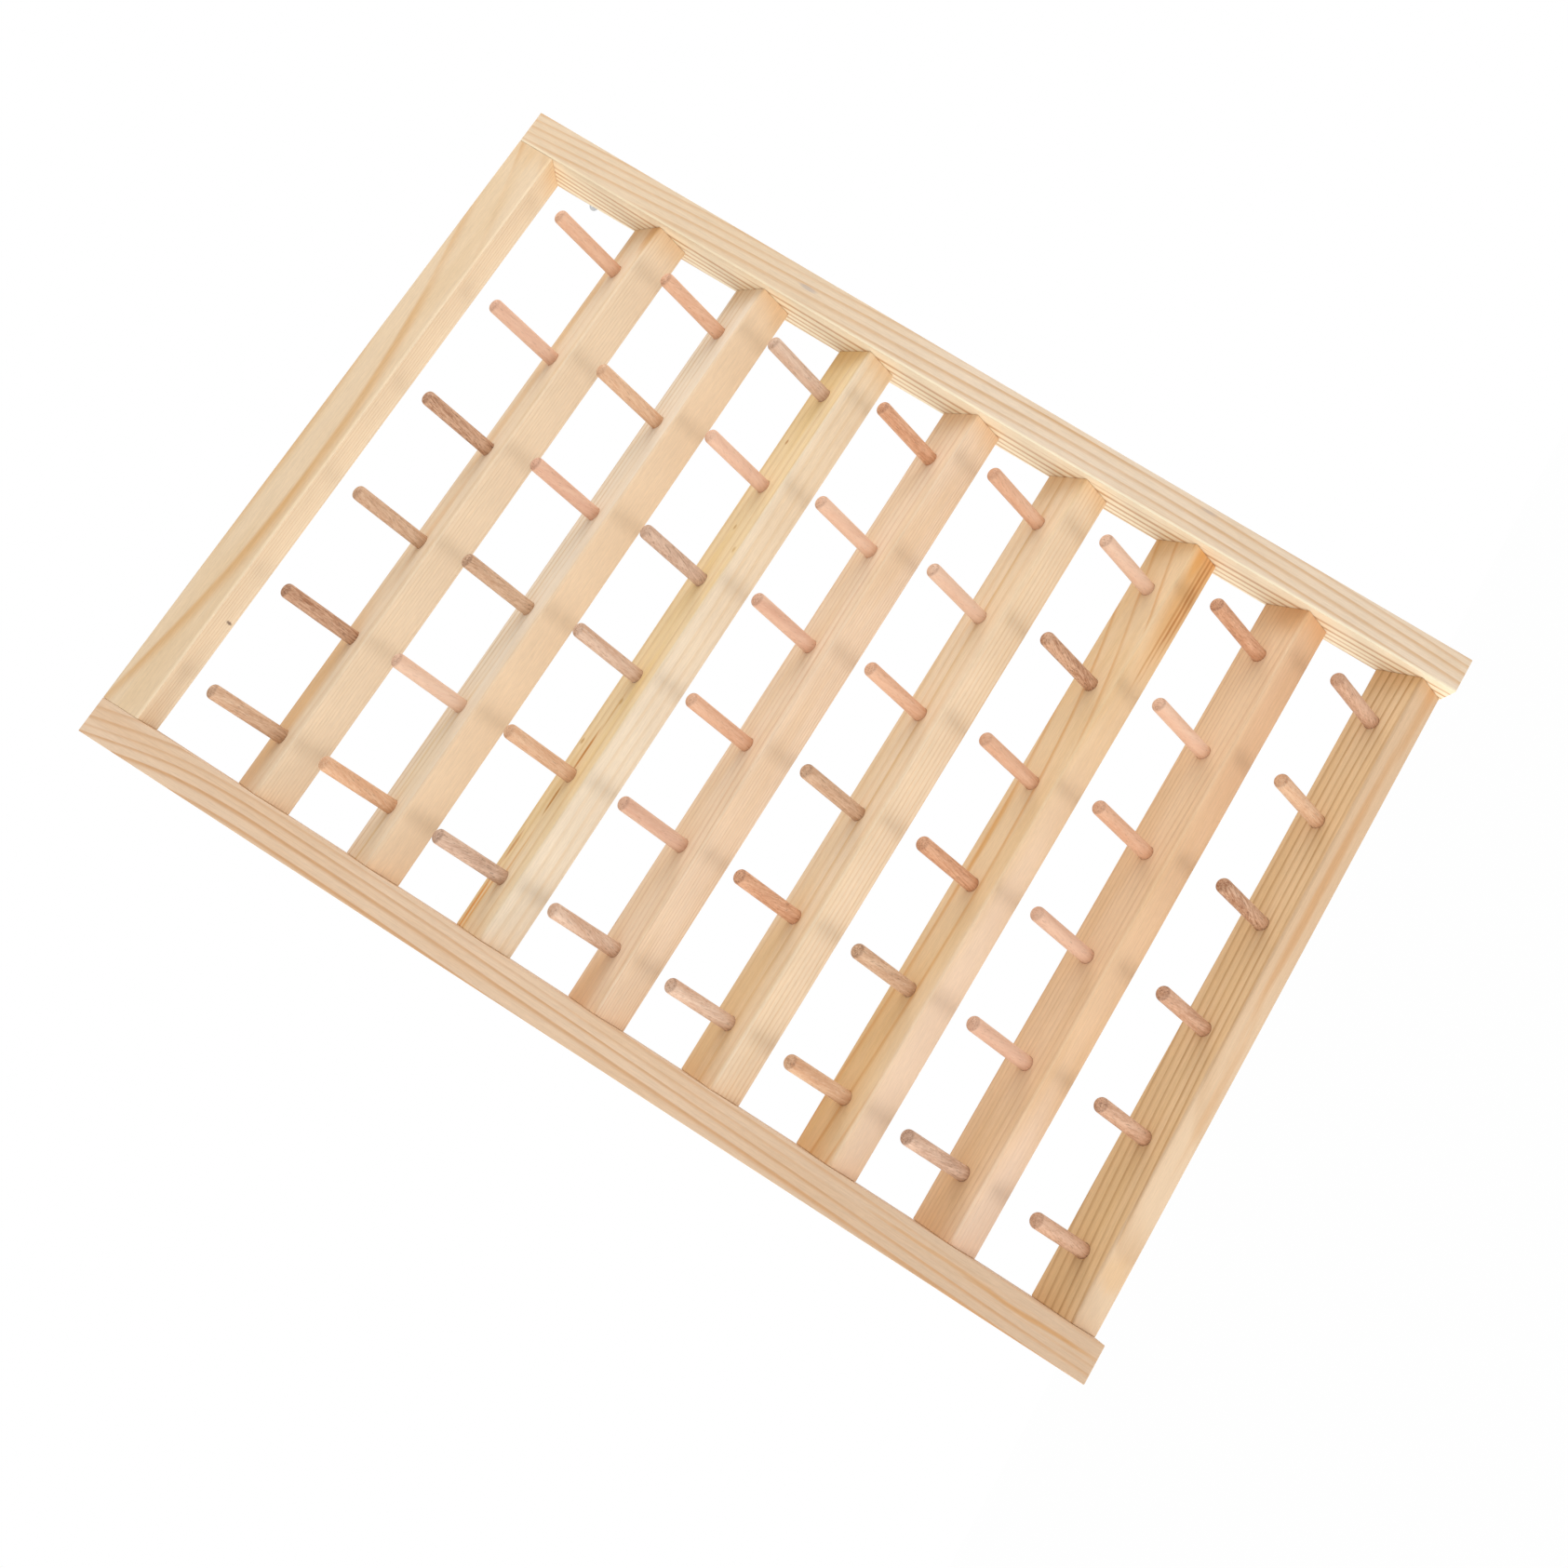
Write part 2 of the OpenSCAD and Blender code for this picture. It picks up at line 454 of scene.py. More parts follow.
# What is added to the count of rings, so that it is never negative
COUNT_FROM = 100.0
# A ring's line starts at 1 - late of the ring. It is dark from 1 - late times the first of these,
# and fades from the second to the ring's end
LINE_DARK = 0.25
LINE_FADES = 0.88
# The strength of the faintest line
FAINTEST = 0.45
# The noise at which a blotch starts and is full
BLOTCH_EDGE = (-0.12, 0.18)
# Where the edges of fainter lines and of spots start and end, as shares of their radii
BARE_EDGE = (0.6, 1.15)
SPOT_EDGE = (1.05, 0.3)
# How far marks are bent across the board, in mm, and how ragged they are, in shares of radii
MARK_BEND = 1.2
MARK_RAGGED = 0.6
# Where painted shade and dirt start at a slat's right end, where it meets the rail, and are darkest,
# in mm from that end, how far its wood's tone moves that, and the colour that it is multiplied with
END_SHADE_AND_DIRT_FROM = 13
END_SHADE_AND_DIRT_TO = 1
END_SHADE_AND_DIRT_REACH = 14.0
END_SHADE_AND_DIRT_TINT = (0.90, 0.70, 0.42, 1)
# How far a face looks along the board where end grain starts and is full, and what the warm and
# the dark colour are multiplied with there
END_EDGE = (0.7, 0.95)
END_GROUND = 0.92
END_LINES = 0.80
# The height of its bumps, in mm
PINE_BUMP = 0.05


@dataclass
class Pine:
    """How a board looks: sRGB colours, and lengths in mm along the board's own axes"""

    # The ground, its blotches and the ring lines
    light: tuple
    warm: tuple
    dark: tuple
    # The way that the rings face, in degrees from Y towards Z, and the space between them
    turn: float
    spacing: float
    # How the rings lie along the board: a slope, a bend per square mm round bow_at, and a hump
    # of (place, reach, height), as beside a knot
    drift: float = 0.0
    bow: float = 0.0
    bow_at: float = 0.0
    swell: tuple = (0, 1, 0)
    # How much they stray, and how far all of them are moved
    wander: float = 1.0
    shift: float = 0.0
    # The dark share of a ring, and how strongly lines and blotches show
    late: float = 0.58
    strength: float = 1.0
    blotch: float = 0.6
    # Where lines are fainter: (centre, radii, share of the lines kept)
    bare: list = field(default_factory=list)
    # Other ground, or painted shade, under the lines, and knots, smudges and resin over them:
    # (centre, radii, colour, weight)
    patches: list = field(default_factory=list)
    marks: list = field(default_factory=list)


def ring_depth(graph, at, look):
    """How far out in the trunk a place in a board lies, in mm"""
    x, y, z = graph.split(at)
    across = y + PITH_AWAY * math.cos(math.radians(look.turn))
    out = z + PITH_AWAY * math.sin(math.radians(look.turn))
    radius = graph.math("SQRT", across * across + out * out)
    from_bow = x - look.bow_at
    swell_at, swell_reach, swell_height = look.swell
    from_swell = (x - swell_at) * (1 / swell_reach)
    swelling = graph.math("POWER", math.e, from_swell * from_swell * -1.0)
    return radius + x * look.drift + from_bow * from_bow * look.bow + swelling * swell_height


def ring_lines(graph, at, wander, look, seed):
    """The dark part of each ring, from 0 to 1, and the same lines as strongly as they show"""
    slow = graph.noise(at, SLOW_WANDER, seed, 1)
    depth = ring_depth(graph, at, look) + slow * (SLOW_REACH * look.wander)
    depth = depth + wander * (QUICK_REACH * look.wander) + look.shift
    uneven = graph.noise(graph.join(depth * (SPACING_PACE / look.spacing), seed, 0.3), detail=1)
    count = depth / look.spacing + uneven * SPACING_REACH + COUNT_FROM
    part = graph.math("FRACT", count)
    line = part.step(1 - look.late, 1 - look.late * LINE_DARK) * part.step(1.0, LINE_FADES)
    chance = graph.chance(graph.math("FLOOR", count) + seed * 7.7)
    own = FAINTEST + chance * (1 - FAINTEST)
    along = 1.0 + graph.noise(at, LINE_FADING, seed + 2) * 1.2
    lines = line * own * (along * look.strength)
    for centre, radii, kept in look.bare:
        outside = graph.far_from(at, centre, radii).step(*BARE_EDGE)
        lines = lines * (kept + outside * (1 - kept))
    return line, lines


def painted(graph, colour, spots, at, ragged=0.0):
    """Colour with spots of (centre, radii, tint, weight) over it, ragged moving their edges"""
    for centre, radii, tint, weight in spots:
        near = (graph.far_from(at, centre, radii) + ragged).step(*SPOT_EDGE)
        colour = graph.mix(near * weight, colour, linear(tint))
    return colour


def pine(name, look, seed, end_shade_and_dirt=0.0):
    """Pine along X, its growth rings dark lines on a light ground, its right end darkened that much
    by painted shade and dirt
    """
    material, graph = new_material(name)
    at, facing = graph.surface()
    wander = graph.noise(at, QUICK_WANDER, seed + 1)
    line, lines = ring_lines(graph, at, wander, look, seed)
    tone = graph.noise(at, TONE, seed + 3)
    fibre = graph.noise(at, FIBRE, seed + 4, 3, 0.65)
    speck = graph.noise(at, SPECK, seed + 5)

    blotches = tone.step(*BLOTCH_EDGE) * look.blotch
    colour = graph.mix(blotches, linear(look.light), linear(look.warm))
    colour = painted(graph, colour, look.patches, at)
    colour = graph.mix(lines, colour, linear(look.dark))
    bend = wander * MARK_BEND
    bent = graph.vector("ADD", at, graph.join(0, bend, bend))
    ragged = graph.noise(at, RAGGED_EDGE, seed + 6) * MARK_RAGGED
    colour = painted(graph, colour, look.marks, bent, ragged)
    # Painted shade and dirt: the last mm of the right end, where it meets the rail, browned and
    # darkened
    along = graph.split(at)[0] + tone * END_SHADE_AND_DIRT_REACH
    end_shade_and_dirt_mask = along.step(inner_w / mm - END_SHADE_AND_DIRT_FROM, inner_w / mm - END_SHADE_AND_DIRT_TO)
    colour = graph.mix(end_shade_and_dirt_mask * end_shade_and_dirt, colour, END_SHADE_AND_DIRT_TINT, "MULTIPLY")
    colour = graph.scaled(colour, 1.0 + fibre * 0.28 + speck * 0.15)

    end = graph.math("ABSOLUTE", facing[0]).step(*END_EDGE)
    end_ground, end_lines = linear(look.warm, END_GROUND), linear(look.dark, END_LINES)
    end_colour = graph.mix(line * 0.75, end_ground, end_lines)
    colour = graph.mix(end * 0.85, colour, end_colour)
    roughness = 0.62 + lines * -0.12 + fibre * 0.15
    height = fibre * 0.6 + lines * 0.35 + speck * 0.3
    graph.shade(colour, roughness, height, PINE_BUMP * mm)
    return material


# How each board looks. A rail's X runs down from its top, its Y across its front to the right and
# its Z out of the front. The top slat's X runs to the right and its Y up. A slat's X runs to the
# right from its left end, its Y up its upper face from the ridge, and its Z out of that face, so
# that its lower face is at Y = 0

LEFT_RAIL = Pine(
    light=(231, 201, 170), warm=(225, 189, 152), dark=(211, 164, 119),
    turn=-15, spacing=4.0, drift=0.02, swell=(-30, 55, 16), wander=0.5, late=0.5,
    bare=[((392, 9.7, 0), (90, 3.2, 3), 0.25)],
    # Painted shade: this patch darkens and greys the lower part of the rail towards its foot
    patches=[((430, 7, 0), (190, 30, 30), (208, 176, 144), 0.55)],
    marks=[
        ((362, 9.9, 0), (34, 0.9, 3), (214, 162, 108), 0.6),
        ((404, 9.0, 0), (40, 1.2, 3), (210, 156, 98), 0.8),
    ],
)
RIGHT_RAIL = Pine(
    light=(235, 213, 187), warm=(229, 201, 168), dark=(214, 173, 128),
    turn=-44, spacing=2.7, bow=0.000115, bow_at=270, wander=0.5, strength=1.35,
    bare=[
        ((215, 0, -1), (500, 1.5, 4), 0),
        ((215, 8, 0), (900, 11, 1.5), 0.62),
    ],
    patches=[
        ((215, 0, -10), (1500, 1.5, 90), (252, 237, 207), 1.0),
        ((50, 9, 0), (170, 30, 4), (220, 192, 154), 0.45),
    ],
    marks=[
        ((133, 8, 0), (5, 1.2, 2), (186, 172, 164), 0.6),
        ((315, 12.5, 0), (5, 1, 2), (190, 176, 168), 0.5),
    ],
)
TOP_SLAT = Pine(
    light=(231, 205, 171), warm=(226, 196, 155), dark=(214, 168, 112),
    turn=80, spacing=2.45, bow=-0.00021, bow_at=117, wander=0.2, late=0.42, shift=-0.45,
    bare=[
        ((262, 2, 0), (75, 10, 3), 0.25),
        ((0, 1, 0), (40, 6, 3), 0),
        ((222, 14, 0), (50, 6, 3), 0.6),
        ((137, -1, -10), (1500, 2.5, 90), 0.55),
    ],
    patches=[((137, 0, -10), (1500, 1.5, 90), (245, 221, 187), 1.0)],
    marks=[((48.5, 0, -15.5), (0.9, 2, 3.8), (120, 92, 70), 0.9)],
)

# The centre and radii of a slat's whole lower face, and of a zone that reaches past its edges
LOWER_FACE = ((137, 0, -8), (1500, 1.5, 60))
LOWER_ZONE = ((137, -1, -9), (600, 2.5, 20))

SLATS = {
    1: Pine(
        light=(236, 213, 183), warm=(226, 193, 147), dark=(223, 190, 148),
        turn=82, spacing=1.3, drift=0.002, wander=0.5, strength=0.5, blotch=0.35,
        patches=[
            ((40, 16, 0), (60, 10, 4), (224, 178, 120), 0.75),
            (*LOWER_FACE, (241, 216, 184), 1.0),
        ],
        marks=[
            ((125, 11, 0), (40, 2.6, 3), (224, 180, 126), 0.5),
            ((180, 14.5, 0), (50, 3.4, 3), (224, 182, 130), 0.45),
            ((235, 17.5, 0), (50, 3.4, 3), (226, 184, 130), 0.6),
            ((272, 3, 0), (14, 5, 3), (212, 160, 96), 0.7),
        ],
    ),
    2: Pine(
        light=(240, 223, 200), warm=(237, 214, 184), dark=(224, 196, 158),
        turn=4, spacing=3.4, bow=-0.0001, bow_at=190, wander=0.6,
        bare=[((137, 0, -8), (300, 9, 20), 0)],
        patches=[
            ((15, 8, 0), (70, 12, 3), (236, 211, 172), 0.45),
            (*LOWER_FACE, (240, 211, 176), 1.0),
        ],
        marks=[
            ((10, 11, 0), (34, 1.1, 3), (222, 188, 128), 0.5),
            ((52, 13.5, 0), (34, 1.1, 3), (224, 192, 134), 0.5),
            ((66, 9.5, 0), (26, 0.9, 3), (226, 196, 140), 0.4),
        ],
    ),
    3: Pine(
        light=(242, 216, 172), warm=(235, 202, 138), dark=(222, 186, 132),
        turn=50, spacing=3.4, wander=0.6, strength=0.6, blotch=0.7, shift=0.9,
        bare=[(*LOWER_ZONE, 0.6)],
        patches=[
            ((12, 6, 0), (60, 12, 3), (240, 220, 192), 0.6),
            (*LOWER_FACE, (244, 227, 201), 1.0),
            ((275, 0, -9), (190, 2, 14), (240, 215, 180), 0.7),
        ],
        marks=[
            ((12, 15.8, 0), (20, 0.9, 3), (226, 162, 84), 0.8),
            ((10, 18.2, 0), (24, 1.1, 3), (222, 150, 68), 0.95),
            ((36, 17.6, 0), (9, 1.2, 3), (206, 146, 82), 0.8),
            ((30, 11.4, 0), (26, 0.9, 3), (224, 170, 98), 0.6),
            ((58, 12.3, 0), (9, 1.1, 3), (198, 140, 68), 0.95),
            ((80, 12, 0), (15, 1.1, 3), (198, 134, 62), 1.0),
            ((98, 11, 0), (14, 0.9, 3), (212, 160, 88), 0.6),
            ((103, 10.3, 0), (1.8, 1.2, 2), (200, 156, 84), 0.7),
            ((83, 18.2, 0), (2, 1.3, 2), (204, 160, 96), 0.8),
            ((176, 3.2, 0), (2, 1.1, 2), (206, 164, 98), 0.7),
            ((186, 12, 0), (1.8, 1.0, 2), (200, 150, 86), 0.7),
            ((228, 15.2, 0), (1.5, 1.0, 2), (190, 130, 72), 0.8),
        ],
    ),
    4: Pine(
        light=(243, 216, 186), warm=(237, 204, 165), dark=(224, 184, 146),
        turn=71, spacing=1.15, bow=0.00005, bow_at=230, wander=0.5, strength=0.62,
        patches=[((0, 14, 0), (38, 10, 3), (224, 176, 124), 0.6)],
    ),
    5: Pine(
        light=(242, 216, 183), warm=(236, 206, 164), dark=(225, 186, 136),
        turn=72, spacing=1.95, drift=-0.005, wander=0.5, strength=0.85,
        bare=[(*LOWER_ZONE, 0.7)],
        patches=[
            ((20, 13, 0), (80, 12, 3), (226, 182, 116), 0.45),
            ((60, 0, -9), (260, 3, 14), (247, 224, 194), 0.7),
        ],
    ),
    6: Pine(
        light=(239, 208, 167), warm=(229, 192, 141), dark=(218, 162, 100),
        turn=12, spacing=8.6, bow=-0.00029, bow_at=125, swell=(300, 80, -15.6),
        wander=0.35, late=0.3, strength=0.8, shift=2.9,
        bare=[(*LOWER_ZONE, 0)],
        patches=[
            ((10, 14, 0), (110, 12, 3), (222, 172, 104), 0.45),
            ((50, -1, -9), (170, 4, 16), (242, 215, 188), 0.9),
            ((266, 0, -9), (58, 3, 11), (228, 176, 112), 0.75),
        ],
        marks=[
            ((248, 0, -8.6), (46, 2, 0.9), (202, 142, 80), 0.75),
            ((254, 0, -10.8), (46, 2, 0.9), (192, 128, 66), 0.9),
            ((262, 0, -13), (38, 2, 0.9), (200, 138, 76), 0.85),
            ((270, 0, -5), (12, 2, 3), (230, 168, 90), 0.5),
            ((135, 17, 0), (34, 2.2, 3), (224, 166, 94), 0.6),
        ],
    ),
    7: Pine(
        light=(238, 202, 163), warm=(230, 190, 144), dark=(216, 172, 132),
        turn=50, spacing=1.5, bow=0.00004, bow_at=60, wander=0.6, strength=0.58,
        bare=[((60, -1, -9), (300, 2.5, 20), 0.3)],
        patches=[
            ((275, 0, -9), (170, 6, 20), (226, 181, 142), 0.6),
            ((0, 0, -9), (80, 3, 14), (245, 219, 196), 0.8),
            ((5, 14, 0), (60, 10, 3), (222, 178, 126), 0.35),
            ((240, 8, 0), (110, 18, 4), (243, 211, 174), 0.55),
            ((272, 6, 0), (13, 9, 3), (216, 160, 102), 0.5),
        ],
    ),
    8: Pine(
        light=(233, 198, 153), warm=(224, 186, 135), dark=(194, 150, 100),
        turn=6, spacing=3.4, bow=0.0002, bow_at=200, wander=0.5, strength=1.0, late=0.5,
        bare=[((137, 0, -9), (600, 1.6, 12), 0.5)],
        patches=[
            ((10, 12, 0), (70, 12, 3), (218, 178, 116), 0.35),
            ((275, 11, 0), (60, 14, 3), (240, 210, 170), 0.5),
            (*LOWER_FACE, (214, 180, 143), 1.0),
            ((50, 0, -9), (130, 2, 14), (226, 197, 163), 0.9),
        ],
        marks=[
            ((22, 0, -8), (9, 2, 12), (222, 178, 124), 0.45),
            ((98, 0, -10.5), (40, 2, 3.4), (206, 156, 104), 0.4),
            ((185, 0, -6.8), (90, 2, 3.6), (202, 150, 96), 0.7),
            ((262, 0, -9.5), (28, 2, 3.6), (204, 154, 102), 0.6),
        ],
    ),
}
# How strongly painted shade and dirt darken the slats' right ends, where they meet the right rail
SLAT_END_SHADE_AND_DIRT = 0.3


# The boards


def brad_spots(x):
    """The brads' places in a rail whose outer side is at x, two to each slat's end"""
    middle_y = (front_y + back_y) / 2
    top_z = top_high.z - top_h / 2
    spots = [Vector((x, middle_y + way * BRAD_OFFSET * mm, top_z)) for way in (-1, 1)]
    for row in ROWS:
        start = ridge(row)
        for up in (PEG_UP - BRAD_OFFSET, PEG_UP + BRAD_OFFSET):
            wood = min(SLAT_THICK * mm, wood_behind(start, up * mm))
            spot = start + up_face * up * mm - peg_axis * wood / 2
            spots.append(Vector((x, spot.y, spot.z)))
    return spots


def make_rail(side, left_x, outward, material, seed):
    """A rail from its top down, with the brads' holes in its outer side"""
    matrix = place(Vector((left_x, front_y, rail_high.z)), -Z, X, -Y)
    corners = [(0, 0), (rail_w, 0), (rail_w, -rail_d), (0, -rail_d)]
    rail = board(f"{side}_rail_board", matrix, corners, rack_h, RAIL_EASE * mm, seed)
    spots = brad_spots(rail_high.x * outward.x)
    drill(rail, [(spot, outward, BRAD_HOLE * mm, BRAD_HOLE_DEPTH * mm) for spot in spots])
    dress(rail, material, f"{side}_rail")


def make_top():
    """The top slat, flush with the fronts of the rails"""
    matrix = place(Vector((top_low.x + TOP_GAP * mm, front_y, top_low.z)), X, Z, -Y)
    corners = [(0, 0), (top_h, 0), (top_h, -rail_d), (0, -rail_d)]
    length = inner_w - 2 * TOP_GAP * mm
    top = board("top_board", matrix, corners, length, RAIL_EASE * mm, seed=31)
    material = pine("top_pine", TOP_SLAT, seed=3, end_shade_and_dirt=SLAT_END_SHADE_AND_DIRT)
    dress(top, material, "top_slat")


def make_slat(row):
    """A slat along its ridge, planed off flush with the rack's back and drilled for its pegs"""
    start = ridge(row) + X * (SLAT_GAP * mm - inner_w / 2)
    matrix = place(start, X, up_face, peg_axis)
    wide, thick = SLAT_WIDE * mm, SLAT_THICK * mm
    upper_back = -wood_behind(start, wide)
    lower_back = (back_y - start.y + thick * peg_axis.y) / up_face.y
    corners = [(0, 0), (wide, 0), (wide, upper_back), (lower_back, -thick), (0, -thick)]
    length = inner_w - 2 * SLAT_GAP * mm
    slat = board(f"slat_board_{row}", matrix, corners, length, SLAT_EASE * mm, seed=40 + row)
    feet = [peg_foot(row, col)[0] for col in COLS]
    drill(slat, [(foot, peg_axis, PEG_HOLE * mm, PEG_HOLE_DEPTH * mm) for foot in feet])
    material = pine(f"slat_pine_{row}", SLATS[row], seed=10 + row, end_shade_and_dirt=SLAT_END_SHADE_AND_DIRT)
    dress(slat, material, f"slat_{row}")


make_rail("left", -rail_high.x, -X, pine("left_pine", LEFT_RAIL, seed=2), seed=14)
make_rail("right", rail_low.x, X, pine("right_pine", RIGHT_RAIL, seed=1), seed=15)
make_top()
for row in ROWS:
    make_slat(row)


# The pegs

# Sizes of the features of their wood in mm: across twice, and along
DOWEL_SIDE = (5, 5, 70)
DOWEL_STREAK = (0.8, 0.8, 11)
DOWEL_FLECK = (0.42, 0.42, 2.2)
DOWEL_PORE = (0.42, 0.42, 3.4)
TIP_SPOT = (0.6, 0.6, 0.6)
# What the colour is multiplied with in and between the spots on a tip, on its rim, and at the foot
# for dirt and painted shade
SPOT_TINT = (0.36, 0.28, 0.24, 1)
TIP_TINT = (0.97, 0.94, 0.92, 1)
RIM_TINT = (0.5, 0.42, 0.38, 1)
FOOT_DIRT_AND_SHADE_TINT = (0.80, 0.69, 0.57, 1)
# The noise at which a pore or a spot starts and is full
PORE_EDGE = (0.08, 0.2)
SPOTTED = (0.0, 0.14)
# How far a face looks along the peg where the tip starts and is full, and where its rim starts and
# is full from either side
TIP_EDGE = (0.2, 0.8)
RIM_LOWER = (0.1, 0.45)
RIM_UPPER = (0.9, 0.55)
# How far above the slat's face the foot's dirt and painted shade start and are full, and how far
# flecks move that, in mm
FOOT_DIRT_AND_SHADE_EDGE = (4.5, 0.2)
FOOT_DIRT_AND_SHADE_RAGGED = 4.0
# What the dark colour is multiplied with in a pore
PORE_DARKER = 0.72
# The most by which the pattern is moved from peg to peg, in mm
PATTERN_MOVES = (91.0, 57.0, 173.0)
# The height of the bumps, in mm
DOWEL_BUMP = 0.04


def dowel(name, light, dark, streaks):
    """Hardwood dowel along Z with slanting streaks, short pores, a stained tip and a foot darkened by
    dirt and painted shade
    """
    material, graph = new_material(name)
    # Two random numbers for each peg, from 0 to 1
    luck = Value(graph, graph.node("ObjectInfo").outputs["Random"])
    second = graph.math("FRACT", luck * 7.31)
    own, facing = graph.surface()
    x, y, z = graph.split(own)
    slant = z * ((second - 0.5) * 0.5)
    move_x, move_y, move_z = PATTERN_MOVES
    at = graph.join(x + slant + luck * move_x, y + luck * move_y, z + luck * move_z)
    side = graph.noise(at, DOWEL_SIDE, detail=1)
    streak = graph.noise(at, DOWEL_STREAK, 2, 3, 0.65)
    fleck = graph.noise(at, DOWEL_FLECK, 4, 2, 0.7)
    pore = graph.noise(at, DOWEL_PORE, 7, 2, 0.7).step(*PORE_EDGE)

    share = 0.45 + side * 1.4 + streak * (2.2 * streaks) + fleck * (1.6 * streaks)
    share = graph.math("MINIMUM", graph.math("MAXIMUM", share, 0.0), 1.0)
    colour = graph.mix(share, linear(light), linear(dark))
    colour = graph.mix(pore * min(1.0, streaks * 0.7), colour, linear(dark, PORE_DARKER))

    spots = graph.noise(at, TIP_SPOT, 5, 3, 0.8).step(*SPOTTED)
    stained = graph.math("MINIMUM", (0.25 + second) * (0.35 + 0.65 * streaks), 1.0)
    stain = graph.mix(spots * stained, TIP_TINT, SPOT_TINT)
    end = facing[2].step(*TIP_EDGE)
    colour = graph.mix(end * 0.9, colour, graph.mix(1.0, colour, stain, "MULTIPLY"))
    rim = facing[2].step(*RIM_LOWER) * facing[2].step(*RIM_UPPER)
    colour = graph.mix(rim * (stained * 0.45), colour, RIM_TINT, "MULTIPLY")
    # Dirt and painted shade at the foot, darkest where the peg goes into its hole
    foot = (z + fleck * FOOT_DIRT_AND_SHADE_RAGGED).step(*FOOT_DIRT_AND_SHADE_EDGE)
    colour = graph.mix(foot * 0.42, colour, FOOT_DIRT_AND_SHADE_TINT, "MULTIPLY")
    colour = graph.scaled(colour, 0.95 + luck * 0.1)
    graph.shade(colour, 0.6 + fleck * 0.2, fleck + pore * -0.6, DOWEL_BUMP * mm, gloss=0.4)
    return material


# The slot and the look of each peg, from the top row down and from left to right
PEG_SLOT_ROWS = ["TBTBPO", "TOGPTO", "BOTGPB", "TOOPLB", "LOGOOB", "PTBOGO", "GPPOLB", "PTBGOG"]
PEG_LOOK_ROWS = ["TDTDPO", "YLTPYO", "GYCGPC", "CPOPLW", "CWTOLO", "YTWODL", "GPPOLW", "RRRDYR"]
PEG_LOOKS = {
    "T": dowel("tan_dowel", (224, 188, 156), (190, 146, 112), 1.0),
    "R": dowel("rosy_dowel", (222, 180, 150), (186, 138, 106), 1.0),
    "D": dowel("dark_dowel", (216, 174, 142), (164, 112, 78), 1.3),
    "P": dowel("pink_dowel", (236, 196, 168), (216, 166, 138), 0.55),
    "O": dowel("orange_dowel", (238, 194, 162), (216, 160, 124), 0.6),
    "Y": dowel("yellow_dowel", (234, 197, 162), (208, 155, 116), 0.75),
    "L": dowel("light_dowel", (240, 205, 178), (224, 178, 148), 0.45),
    "G": dowel("grey_dowel", (226, 193, 168), (188, 150, 125), 1.1),
    "C": dowel("cream_dowel", (228, 198, 174), (200, 158, 128), 0.9),
    "W": dowel("warm_dowel", (230, 180, 144), (196, 136, 98), 1.0),
}


def make_peg(row, col, look):
    """A peg from just inside its hole to its domed tip"""
    foot, free = peg_foot(row, col)
    chance = random.Random(row * 10 + col)
    tip = free + DOME_REACH * mm
    dome = tip - DOME_DEEP * mm
    profile = [(peg_radius * share, height * mm) for share, height in PEG_FOOT]
    span = dome - (SHAFT_FROM + SHAFT_SHORT) * mm
    for ring in range(SHAFT_RINGS):
        radius = peg_radius * (1 - SHAFT_THIN * chance.random())
        profile.append((radius, SHAFT_FROM * mm + span * ring / SHAFT_RINGS))
    for ring in range(DOME_RINGS):
        angle = ring / DOME_RINGS * math.pi / 2
        radius = peg_radius * math.cos(angle) ** DOME_POWER
        profile.append((radius, dome + DOME_DEEP * mm * math.sin(angle) ** DOME_POWER))
    peg = lathe(f"peg_dowel_{row}_{col}", place(foot, X, up_face, peg_axis), profile)
    dress(peg, PEG_LOOKS[look], f"peg_{row}_{col}")


for row, slots, looks in zip(ROWS, PEG_SLOT_ROWS, PEG_LOOK_ROWS):
    for col, slot, look in zip(COLS, slots, looks):
        make_peg(row, col, look)


# The metal

# The size of the grime on it and the height of its bumps, in mm
GRIME = (1.5, 1.5, 1.5)
ZINC_BUMP = 0.02
# The noise at which it starts and is full, and the colours without and with it
GRIME_EDGE = (-0.3, 0.3)
CLEAN_ZINC = (206, 206, 204)
DULL_ZINC = (182, 182, 184)


def zinc():
    """Bright zinc plate with faint grime"""
    material, graph = new_material("bright_zinc")
    at, _ = graph.surface()
    grime = graph.noise(at, GRIME, detail=3)
    colour = graph.mix(grime.step(*GRIME_EDGE), linear(CLEAN_ZINC), linear(DULL_ZINC))
    graph.shade(colour, 0.34 + grime * 0.2, grime, ZINC_BUMP * mm, metallic=1.0)
    return material


metal = frame["nodes"]["steel_fasteners"]
metal.data.materials.clear()
metal.data.materials.append(zinc())


# Floor, light and camera

# The floor's height, its half side in metres, its colour, and how white it looks to the camera
FLOOR_Z = -2.0
FLOOR_HALF = 6
FLOOR_COLOUR = (0.95, 0.95, 0.95, 1)
FLOOR_WHITE = 0.98
# The strength of the world's light on the rack
WORLD_FILL = 0.70

# The camera that fits the photograph: its place in mm, and how far it is turned from straight at
# the wall to the right, tilted up, and rolled with its right side down, in degrees
CAMERA_AT = (-119.076, -607.395, -234.591)
CAMERA_HEADING = 11.850
CAMERA_RISE = 5.167
CAMERA_ROLL = 58.334
# Its focal length and the width of its frame in mm, and its shift as a share of that width
CAMERA_LENS = 36.109
CAMERA_FRAME = 36
CAMERA_SHIFT = -0.0638


def seen_by(graph, *kinds):
    """1 for camera rays and rays of those kinds, and 0 for others"""
    path = graph.node("LightPath")
    seen = Value(graph, path.outputs["Is Camera Ray"])
    for kind in kinds:
        seen = graph.math("MAXIMUM", seen, path.outputs[kind])
    return seen


